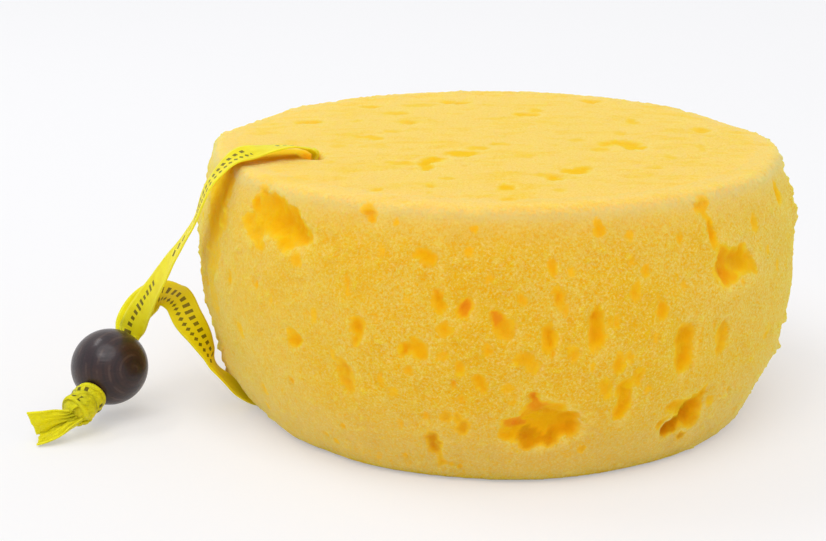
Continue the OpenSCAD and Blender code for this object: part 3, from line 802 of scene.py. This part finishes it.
# pores of the front, by where the camera sees them: across, down, width, height, depth, strength of colour,
# and where they have them tone (1 redder, -1 browner) and lean in degrees
side_pores_and_shade = [
    # upper left pocket
    (254, 204, 8, 22, 1.2, 0.65, 0, -12), (250, 225, 18, 18, 1, 0.5), (276, 211, 22, 24, 2.2, 0.75),
    (280, 226, 34, 30, 2.6, 0.85), (294, 232, 22, 26, 3, 1, 0.15), (291, 218, 16, 20, 2.4, 0.9),
    (302, 237, 16, 16, 2.6, 1, 0.3), (264, 224, 20, 20, 1.4, 0.6), (268, 197, 28, 16, 0.8, 0.5, 0, 20),
    (262, 210, 18, 20, 1, 0.55, 0, 20), (283, 247, 16, 10, 1.4, 0.7), (258, 244, 10, 10, 0.8, 0.5),
    (258, 233, 18, 12, 1, 0.5, 0, -30), (296, 261, 12, 14, 0.7, 0.45),
    # pocket at the foot of the front
    (542, 428, 66, 28, 2.4, 0.85, -0.2), (538, 418, 34, 28, 2.2, 0.85, 0.4), (535.7, 398, 9, 16, 2, 0.85, 0.9),
    (537, 409, 22, 16, 2.6, 0.9, 0.9), (554, 412, 28, 14, 2.6, 0.85, 0.3, -15),
    (564, 421, 28, 18, 2.6, 0.85, -0.2), (560, 431, 40, 16, 2.8, 0.85, -0.5),
    (518, 426, 30, 16, 3, 0.95, 1, 12), (511, 435, 22, 14, 2, 0.8, -0.2), (531, 439, 30, 22, 3, 0.9, -0.7),
    (549, 440, 20, 16, 2.2, 0.8, -0.7), (580, 451, 8, 8, 0.8, 0.6, -0.6), (578.6, 427, 6, 9, 0.7, 0.5, -0.4),
    # pocket at the right foot
    (688, 414, 44, 20, 2.2, 0.8, -0.5, 42), (704, 394, 11, 14, 1.6, 0.7, -0.4, 25),
    (697, 403, 22, 14, 2.6, 0.85, -0.5, 40), (690, 413, 24, 15, 3, 0.9, -0.7, 40),
    (676, 427, 26, 17, 3.4, 1, -1, -35), (663, 423, 12, 13, 1.4, 0.6, -0.6),
    (674.7, 407, 9, 11, 1.2, 0.7, -0.4), (680, 437, 9, 11, 1.6, 0.8, -1), (710, 402, 9, 8, 0.9, 0.5, -0.4),
    # upper right pocket and its streak
    (735, 266, 42, 24, 1.2, 0.8, 0.15, 8), (714, 235, 8, 30, 2, 0.85, 0.1, -8),
    (707, 215, 5, 18, 0.8, 0.6, 0, -8), (726, 267, 20, 36, 2, 1, 0.5), (736, 263, 20, 26, 2, 1, 0.35),
    (743, 261, 28, 20, 1.7, 0.9, 0.2, 15), (750, 266, 24, 13, 1.2, 0.7, 0, 20),
    (729, 277, 24, 15, 1.6, 1, 0.5, 15), (743, 248, 11, 11, 1.2, 0.55), (768, 249, 6, 12, 0.5, 0.35),
    (755, 223, 9, 17, 0.8, 0.45), (779, 193, 7, 24, 1, 0.55), (702, 204, 18, 16, 0.8, 0.5),
    (768, 330, 7, 18, 0.7, 0.35, 0, 10),
    # painted amber shade where the ribbon's shadow falls on the rim and down the side; these press no dent
    (227, 169, 24, 20, 0, 0.5, 0, 30), (220, 187, 24, 40, 0, 0.6, 0, 12), (217, 214, 22, 50, 0, 0.45, 0, 6),
    (214, 248, 16, 64, 0, 0.22, 0, 4), (211, 288, 12, 60, 0, 0.2),
    # open pores between them
    (426, 258, 24, 12, 1.1, 0.75, 0, 22), (468, 252, 12, 11, 0.8, 0.5), (473.7, 229, 7, 8, 0.4, 0.5),
    (489.6, 220, 5, 9, 0.3, 0.4), (438, 300, 12, 24, 1.1, 0.7, 0, -8), (465, 308, 15, 22, 1.5, 1, 0.7, 18),
    (445, 330, 17, 14, 0.9, 0.6, 0, -15), (497, 320, 13, 20, 1.3, 1, 1, -25),
    (505, 332, 18, 20, 1, 0.6, 0.4, -30), (487, 278, 8, 13, 0.4, 0.35, 0.3), (524, 300, 6, 9, 0.6, 0.7, 0.5),
    (552, 269, 10, 18, 1, 0.75, 0.2, 8), (560, 297, 9, 24, 1.1, 0.8, 0.3, -12),
    (566, 312, 9, 14, 0.8, 0.5, 0.2), (550, 337, 14, 32, 1.4, 0.75), (597, 318, 14, 22, 1.6, 0.7, -0.1, -5),
    (597, 337, 16, 28, 1.8, 0.8, -0.1, -5), (573, 271, 7, 11, 0.6, 0.5, 0.3), (599, 226, 11, 18, 0.7, 0.6),
    (632, 262, 6, 14, 0.5, 0.4), (636, 291, 11, 22, 0.9, 0.5, 0, 10), (647, 271, 6, 15, 0.7, 0.6),
    (617, 321, 6, 15, 0.5, 0.35), (404, 351, 13, 14, 1, 0.8, 0.2), (418, 349, 16, 20, 1.1, 0.8, 0.2),
    (442, 356, 15, 14, 0.5, 0.35), (486.7, 352, 7, 15, 0.8, 0.7, 0.1), (462, 370, 9, 16, 0.8, 0.6, 0, -10),
    (479.5, 384, 10, 18, 1, 0.7, 0, -12), (524, 360, 18, 14, 0.7, 0.5), (534, 368, 14, 14, 0.7, 0.5),
    (507, 389, 10, 11, 0.5, 0.45), (573, 354, 9, 13, 0.6, 0.5, 0.2), (592, 369, 5, 13, 0.6, 0.6, 0.1),
    (619.7, 363, 11, 22, 1, 0.6), (631, 357, 6, 15, 0.7, 0.55), (640, 376, 8, 19, 0.9, 0.6, 0, 10),
    (606.6, 389, 12, 24, 0.9, 0.55, -0.1), (625.4, 390, 14, 20, 1.4, 0.8, 0, 12),
    (623.5, 408, 13, 26, 1.8, 0.95, 0.1, 8), (445, 417, 8, 12, 0.4, 0.5, -0.7),
    (457, 416, 8, 10, 0.5, 0.5, -0.6), (463, 427, 13, 18, 0.7, 0.6, -0.7), (441, 462, 5, 18, 0.8, 0.5, -0.6),
    (433, 443, 15, 32, 1.6, 0.6, -0.8, -8), (369, 210, 20, 12, 0.7, 0.55), (373, 218, 10, 10, 0.6, 0.6),
    (395.6, 223, 7, 11, 0.4, 0.4), (346.7, 285.6, 5, 24, 0.6, 0.4), (358, 328, 13, 24, 1.2, 0.75, 0, 5),
    (354, 342, 9, 12, 0.7, 0.6, 0.1), (294, 340, 13, 14, 1.1, 0.9, 0.2, -10), (290, 330, 6, 8, 0.4, 0.5),
    (313, 314, 6, 16, 0.3, 0.3, 0.8, -10), (345, 376, 16, 34, 0.9, 0.4, 0.5, -6),
    (393, 392, 12, 12, 0.4, 0.35, 0.2), (333, 357, 6, 11, 0.3, 0.3), (664, 310, 9, 18, 1, 0.7, 0.2),
    (687, 338, 19, 28, 1.6, 0.7), (685, 358, 19, 30, 1.9, 0.85, 0.1), (724, 334, 15, 20, 1.2, 0.55, 0, 10),
    (722, 348, 12, 16, 1, 0.5), (631, 237, 6, 15, 0.5, 0.4), (680, 239, 9, 15, 0.7, 0.45),
    (648, 392, 7, 12, 0.5, 0.4), (655, 340, 6, 12, 0.4, 0.3), (516, 402, 7, 9, 0.3, 0.4, -0.3),
    (408, 300, 8, 8, 0.3, 0.3), (382, 250, 7, 12, 0.3, 0.3), (270, 300, 5, 12, 0.3, 0.25),
    (240, 330, 8, 14, 0.6, 0.3), (262, 390, 9, 12, 0.6, 0.3), (229, 276, 6, 16, 0.4, 0.25),
]

# shallow pores of the top face, in the same way: across, down, width, height, depth, strength
top_pores_and_shade = [
    # the first four press no dent: painted orange shade under the ribbon's arch, where its shadow falls on the top
    (244, 159, 34, 9, 0, 1), (268, 156, 44, 13, 0, 1), (290, 154, 44, 14, 0, 1), (306, 155, 28, 12, 0, 1),
    (397, 113, 26, 6, 0.5, 0.35), (408, 122, 18, 7, 0.5, 0.4), (420, 105, 40, 6, 0.3, 0.25),
    (526, 114, 26, 6, 0.5, 0.5), (535, 110, 14, 6, 0.4, 0.4), (365, 136, 26, 6, 0.5, 0.4),
    (375, 138, 14, 7, 0.5, 0.45), (392, 131, 20, 5, 0.3, 0.3), (425, 165, 12, 14, 1.2, 0.85),
    (434, 159, 26, 7, 0.8, 0.6), (462, 153, 36, 7, 0.8, 0.6), (478, 148, 20, 6, 0.5, 0.45),
    (500, 144, 24, 5, 0.4, 0.35), (400, 163, 30, 6, 0.5, 0.4), (604, 144, 16, 7, 0.7, 0.5),
    (620, 143, 44, 7, 0.7, 0.5), (636, 147, 22, 7, 1, 0.8), (600, 149, 20, 5, 0.5, 0.4),
    (632, 121, 12, 9, 0.6, 0.4), (619, 133, 14, 6, 0.4, 0.35), (556, 177, 16, 8, 0.8, 0.7),
    (575, 171, 26, 7, 0.7, 0.6), (585, 168, 14, 6, 0.6, 0.6), (545, 175, 22, 5, 0.4, 0.35),
    (506, 187, 14, 8, 0.8, 0.7), (429, 185, 12, 5, 0.5, 0.5), (431, 192, 10, 4, 0.3, 0.4),
    (375, 189, 11, 6, 0.5, 0.5), (448, 178, 16, 4, 0.3, 0.35), (560, 190, 18, 4, 0.3, 0.3),
    (524, 156, 20, 5, 0.3, 0.3), (702, 148, 10, 10, 0.4, 0.35), (670, 157, 14, 6, 0.4, 0.3),
    (655, 168, 20, 4, 0.3, 0.3), (575, 140, 18, 5, 0.3, 0.3), (330, 162, 12, 4, 0.3, 0.3),
    (338, 146, 16, 5, 0.3, 0.3), (356, 121, 12, 6, 0.3, 0.25), (700, 128, 10, 5, 0.3, 0.3),
    (508, 199, 16, 5, 0.3, 0.4),
]
# more of them further back on the face: right of centre, behind centre, width, length
far_pores = [(-45, 20, 8, 5), (-8, 46, 9, 4), (28, 48, 6, 5), (50, 10, 5, 6), (-30, 40, 7, 4)]

# pockets torn out of the rest of the side: degrees right of the front, height, the pocket's width and height
back_pockets = [(112, 42, 12, 9), (148, 18, 16, 8), (196, 36, 9, 13), (232, 14, 13, 9), (262, 46, 8, 8)]


# millimetres of the side to a degree
SIDE_DEGREE = 1.2


def on_wall(px, py):
    """Where a line of sight meets the drum's side: degrees right of the front, height."""
    start = STAND + Vector((*SHIFT, 0))
    ray = sight(px, py)
    # the wall's radius changes with height, so a first guess is improved a few times
    reach = 67
    for _ in range(4):
        a = ray.x ** 2 + ray.y ** 2
        b = start.x * ray.x + start.y * ray.y
        c = start.x ** 2 + start.y ** 2 - reach ** 2
        spot = start + ray * ((-b - math.sqrt(max(b * b - a * c, 0))) / a)
        turn = math.degrees(math.atan2(spot.x, -spot.y))
        reach = drum_r(turn, min(max(spot.z, 0), FOAM_H))
    return turn, spot.z


def on_drum(turn, z):
    a, reach = math.radians(turn), drum_r(turn, z)
    return Vector((reach * math.sin(a) - SHIFT[0], -reach * math.cos(a) - SHIFT[1], z))


def eased(bm, amounts, rounds):
    """Amounts on vertices, evened out with their neighbours'."""
    for _ in range(rounds):
        near = {}
        for i in amounts:
            for edge in bm.verts[i].link_edges:
                other = edge.other_vert(bm.verts[i]).index
                near.setdefault(i, []).append(amounts.get(other, 0))
                if other not in amounts:
                    near.setdefault(other, []).append(amounts[i])
        amounts = {i: 0.45 * amounts.get(i, 0) + 0.55 * sum(beside) / max(len(beside), 4)
                   for i, beside in near.items()}
    return amounts


def vertex_tree(bm):
    tree = kdtree.KDTree(len(bm.verts))
    for i, v in enumerate(bm.verts):
        tree.insert(v.co, i)
    tree.balance()
    return tree


# a pore's outline and its lip's, in half sizes of the pore, and how far its search reaches past that
PORE_EDGE, LIP_EDGE, SEARCH_PAST = 1.1, 1.9, 1.5


def press_pores(bm, hollow_and_shade, tone, lip):
    """Presses the named pores, with torn outlines, and keeps where they are for the colour."""
    bm.verts.ensure_lookup_table()
    bm.verts.index_update()
    tree = vertex_tree(bm)
    for v in bm.verts:
        v[tone] = 0.5
    warped, sink = {}, {}

    def warp(i):
        """A vertex's place, pushed about so that outlines come out torn."""
        if i not in warped:
            p = bm.verts[i].co / MM
            shifts = (Vector((0, 0, 0)), Vector((9, 4, 0)), Vector((0, 7, 5)))
            warped[i] = p + Vector([0.9 * noise.noise(p / 2.7 + k) + 0.6 * noise.noise(p / 1.3 + k) for k in shifts])
        return warped[i]

    def press(centre, reach, off, half, depth, strength, colour=0):
        for _, i, _ in tree.find_range(centre * MM, (reach + SEARCH_PAST) * MM):
            across, up = off(warp(i))
            d = math.hypot(across / half[0], up / half[1])
            v = bm.verts[i]
            if d < PORE_EDGE:
                inside = PORE_EDGE - d
                sink[i] = max(sink.get(i, 0), 0.75 * depth * min(inside * 1.6, 1))
                shown = strength * min(inside * 2.6, 1)
                if shown > v[hollow_and_shade]:
                    v[tone] += (colour * 0.5 + 0.5 - v[tone]) * min(shown * 1.4, 1)
                v[hollow_and_shade] = max(v[hollow_and_shade], shown)
            elif d < LIP_EDGE and across > -0.2 * half[0]:
                v[lip] = max(v[lip], strength * (LIP_EDGE - d) / 0.8)

    def press_wall(turn, z, half, depth, strength, colour, lean):
        a, reach, centre = math.radians(turn), drum_r(turn, z), on_drum(turn, z)
        c, t = math.cos(math.radians(lean)), math.sin(math.radians(lean))

        def off(q):
            x = (math.atan2(q.x + SHIFT[0], -q.y - SHIFT[1]) - a + math.pi) % (2 * math.pi) - math.pi
            return x * reach * c - (q.z - z) * t, x * reach * t + (q.z - z) * c

        press(centre, max(half) * LIP_EDGE, off, half, depth, strength, colour)

    for px, py, wide, tall, depth, strength, *rest in side_pores_and_shade:
        colour, lean = (*rest, 0, 0)[:2]
        turn, z = on_wall(px, py)
        scale = FOCAL / (on_drum(turn, z) - STAND).length
        # a pore is seen narrower where the wall turns away
        half = (wide * 0.56 / scale / max(math.cos(math.radians(turn)), 0.35), tall * 0.56 / scale)
        press_wall(turn, z, half, depth, strength, colour, lean)

    # the rest of the side, which is torn in the same way: pockets of a few bites each, and small pores
    rng = random.Random(11)
    for turn, z, wide, tall in back_pockets:
        for _ in range(6):
            half = (wide * rng.uniform(0.2, 0.34), tall * rng.uniform(0.24, 0.4))
            press_wall(turn + wide * rng.uniform(-0.25, 0.25) / SIDE_DEGREE, z + tall * rng.uniform(-0.2, 0.2), half,
                       rng.uniform(1.4, 3), rng.uniform(0.7, 1), rng.uniform(-0.6, 0.4), rng.uniform(-30, 30))
    for _ in range(110):
        wide = rng.uniform(0.6, 1.3) ** 2
        half = (wide, wide * rng.uniform(1, 2.2))
        press_wall(rng.uniform(76, 284), rng.triangular(5, 55, 28), half, wide * 0.7, rng.uniform(0.3, 0.9),
                   rng.uniform(-0.3, 0.4), rng.uniform(-15, 15))

    for px, py, wide, tall, depth, strength in top_pores_and_shade:
        ray = sight(px, py)
        centre = STAND + ray * ((FOAM_H - STAND.z) / ray.z)
        scale = FOCAL / (centre - STAND).length
        # the top is seen at a low angle, at about 0.3 of its depth
        half = (wide * 0.55 / scale, tall * 0.55 / scale / 0.3)
        press(centre, max(half) * LIP_EDGE, lambda q: (q.x - centre.x, q.y - centre.y), half,
              depth * 0.6, min(strength * 1.2, 1))
    for x, y, wide, long in far_pores:
        press(Vector((x, y, FOAM_H)), max(wide, long), lambda q: (q.x - x, q.y - y), (wide / 2, long / 2), 0.7, 0.5)

    for i, shown in eased(bm, {v.index: v[hollow_and_shade] for v in bm.verts if v[hollow_and_shade] > 0}, 1).items():
        bm.verts[i][hollow_and_shade] = shown
    for i, depth in eased(bm, sink, 3).items():
        v = bm.verts[i]
        if beside_ribbon(v.co / MM):
            continue
        if v.co.z > (FOAM_H - 2.5) * MM:
            v.co.z -= depth * MM
        else:
            v.co -= Vector((v.co.x, v.co.y, 0)).normalized() * (depth * MM)
    bm.normal_update()


# how many burst cells are tried, and the size of their clusters
PIT_TRIES, PIT_CLUSTER = 900, 16


def pits(bm, hollow_and_shade):
    """Presses small burst cells into the skin, in loose clusters."""
    rng = random.Random(7)
    bm.verts.ensure_lookup_table()
    tree = vertex_tree(bm)
    dents = {}
    for _ in range(PIT_TRIES):
        seed = bm.verts[rng.randrange(len(bm.verts))]
        if seed[hollow_and_shade] > 0.3 or seed.co.z < 2 * MM:
            continue
        thick = noise.noise(seed.co / (PIT_CLUSTER * MM) + Vector((5, 2, 9)))
        if thick < rng.uniform(-0.25, 0.45):
            continue
        on_top = seed.normal.z > 0.8
        wide = rng.uniform(0.7, 1.5) * (1.5 if on_top else 1) * MM
        tall = wide * rng.uniform(1.2, 2.0)
        deep = rng.uniform(0.3, 0.9) * (0.5 if on_top else 1)
        if not on_top:
            # the skin is smoother towards the rim
            deep *= 1 - 0.85 * share_of(seed.co.z / MM, 38, 49)
        for co, i, _ in tree.find_range(seed.co, tall * 1.2):
            off = co - seed.co
            if on_top:
                flat, up = Vector((off.y, off.z)).length, off.x
            else:
                flat, up = Vector((off.x, off.y)).length, off.z
            d = (flat / wide) ** 2 + (up / tall) ** 2
            if d < 1:
                dents[i] = max(dents.get(i, 0), deep * (1 - d) ** 1.4)
    for i, deep in dents.items():
        v = bm.verts[i]
        v.co -= v.normal * (deep * 0.8 * MM)
        v[hollow_and_shade] = max(v[hollow_and_shade], deep * 0.55)


# tufts that stand out from the rim and the side: place, reach, height
torn_spots = [
    ((-64, 6, 58), 11, 0.9),
    ((-60, 24, 59), 11, 0.9),
    ((-50, 42, 60), 9, 0.8),
    ((69, -12, 49), 6, 1.6),
    ((67, -14, 14), 6, 1.8),
    ((66, 18, 58), 7, 0.9),
]


def rough_skin(bm, hollow_and_shade, rim, above, foot):
    """Waves, torn edges and the fine nap of cut foam."""
    rng = random.Random(21)
    for v in bm.verts:
        deep = v[hollow_and_shade]
        edge = max(0, 1 - abs(deep - 0.4) / 0.4)
        p = v.co / MM
        wave = 0.42 * noise.noise(p / 9) + 0.26 * noise.noise(p / 3.6 + Vector((7, 0, 2)))
        torn = 0.35 * edge * noise.noise(p / 1.9 + Vector((0, 8, 1)))
        nap = 0.2 * noise.noise(p / 1.05) + rng.uniform(-0.06, 0.06)
        flat = 1 - 0.7 * max(v.normal.z, 0) ** 4
        tuft = max(noise.noise(p / 1.7 + Vector((2, 2, 2))) - 0.3, 0) * 1.5
        if p.z < 1.2 and v.normal.z < -0.3:
            v.co.z = max(v.co.z, 0)
            continue
        for at, size, amount in torn_spots:
            away = (p - Vector(at)).length / size
            if away < 1:
                tuft += amount * (1 - away) * (0.7 + 1.4 * noise.noise(p / 1.5 + Vector((4, 0, 6))))
        if beside_ribbon(p):
            v.co += v.normal * (nap * 0.4 * MM)
        else:
            v.co += v.normal * ((wave * flat + torn + nap + tuft * flat) * MM)
        v.co.z = max(v.co.z, 0)
        v[rim] = max(0, 1 - abs(p.z - 59.4) / 2.2) if math.hypot(p.x, p.y) > 60 else 0
        v[above] = share_of(p.z, 43, 60)
        v[foot] = share_of(p.z, 22, 8)


# heights at which the foot's curl ends and the rim's sag starts
CURL_END, SAG_START = 14, 42
# where the foot curls up more than elsewhere: degrees right of the front, width, millimetres
CURL = 0.85
curls = [(-45, 20, 0.8), (-66, 13, 1.3), (66, 14, 0.6)]


def settle(bm):
    """Draws the lower left in, curls the edge of the foot up and lets the back of the rim sag, as soft foam does."""
    def near(a, at, width):
        return math.exp(-((a - at) / width) ** 2)

    def draw_in(v, amount):
        v.co.x, v.co.y = v.co.x * (1 - amount), v.co.y * (1 - amount)

    for v in bm.verts:
        p = v.co / MM
        x, y = p.x + SHIFT[0], p.y + SHIFT[1]
        a = math.degrees(math.atan2(x, -y))
        wall = max(-SIDE - BASE_INSET * 0.6 - math.hypot(x, y), 0)
        draw_in(v, 1.9 * near(a, -82, 22) * near(p.z, 17, 11) * max(1 - wall / 20, 0) / 66)
        if p.z < CURL_END:
            low = 1 - p.z / CURL_END
            curl = CURL + sum(more * near(a, at, width) for at, width, more in curls)
            v.co.z += curl * low ** 1.5 * max(1 - wall / 11, 0) ** 1.5 * MM
            draw_in(v, 1.9 * near(a, -62, 14) * low / 64)
        elif p.z > SAG_START:
            sag = 0.6 * math.sin(math.radians(abs(a))) + 0.9 * near(abs(a), 114, 12)
            sag *= share_of(abs(a), 70, 95) * max(1 - wall / 16, 0) ** 1.3
            v.co.z -= sag * ((p.z - SAG_START) / 19) ** 2 * MM


def sponge():
    bm = bmesh.new()
    bm.from_mesh(nodes["foam_body"].data)
    bmesh.ops.remove_doubles(bm, verts=bm.verts, dist=1e-6)
    bm = remeshed(flattened(bm), SKIN_VOXEL * MM)
    bmesh.ops.smooth_vert(bm, verts=bm.verts, factor=0.5, use_axis_x=True, use_axis_y=True, use_axis_z=True)
    bm.normal_update()
    hollow_and_shade, tone, lip, rim, above, foot = (bm.verts.layers.float.new(name) for name in SKIN_LAYERS)
    press_pores(bm, hollow_and_shade, tone, lip)
    pits(bm, hollow_and_shade)
    rough_skin(bm, hollow_and_shade, rim, above, foot)
    settle(bm)
    piece = new_piece("sponge", bm, foam_finish(), "foam_body")


sponge()


# ---- bead and room

nodes["bead"].data.materials.clear()
nodes["bead"].data.materials.append(bead_finish())


def lamp(name, kind, energy):
    light = bpy.data.lights.new(name, kind)
    light.energy = energy
    return put(name, light)


def soft_sun(name, towards, spread, strength):
    sun = lamp(name, "SUN", strength)
    sun.data.angle = math.radians(spread)
    sun.rotation_euler = Vector(towards).to_track_quat("Z", "Y").to_euler()


WINDOW_AWAY = 1.1


def window(name, towards, size, brightness):
    """A rectangle of light over the bead, which shows in its varnish."""
    pane = lamp(name, "AREA", brightness * math.pi * size[0] * size[1])
    pane.data.shape = "RECTANGLE"
    pane.data.size, pane.data.size_y = size
    pane.location = BEAD_AT * MM + Vector(towards) * WINDOW_AWAY
    pane.rotation_euler = (BEAD_AT * MM - pane.location).to_track_quat("-Z", "Y").to_euler()


def floor(size):
    bm = bmesh.new()
    bmesh.ops.create_grid(bm, x_segments=2, y_segments=2, size=size)
    mesh_object("floor", bm, floor_finish())


def room():
    """Even light all round, and a pale background for the rays that see it."""
    world = bpy.data.worlds.new("room")
    world.use_nodes = True
    world.node_tree.nodes.clear()
    air = Nodes(world.node_tree)
    light = air.node("Background", values={"Color": (1, 1, 1), "Strength": 0.6})
    shown = air.node("Background", values={"Color": srgb(248, 249, 251), "Strength": 1})
    both = air.node("MixShader", values={0: air.seen_rays(), 1: light, 2: shown})
    air.feed(air.tree.nodes.new("ShaderNodeOutputWorld").inputs[0], both)
    scene.world = world


floor(size=4)
soft_sun("overhead_light", towards=(-0.05, -0.46, 0.88), spread=54, strength=1.26)
window("window_light_1", towards=(-0.441, 0.234, 0.867), size=(0.46, 0.2), brightness=5)
window("window_light_2", towards=(-0.244, -0.532, 0.81), size=(0.34, 0.2), brightness=3)
room()
scene.view_settings.view_transform = "Standard"
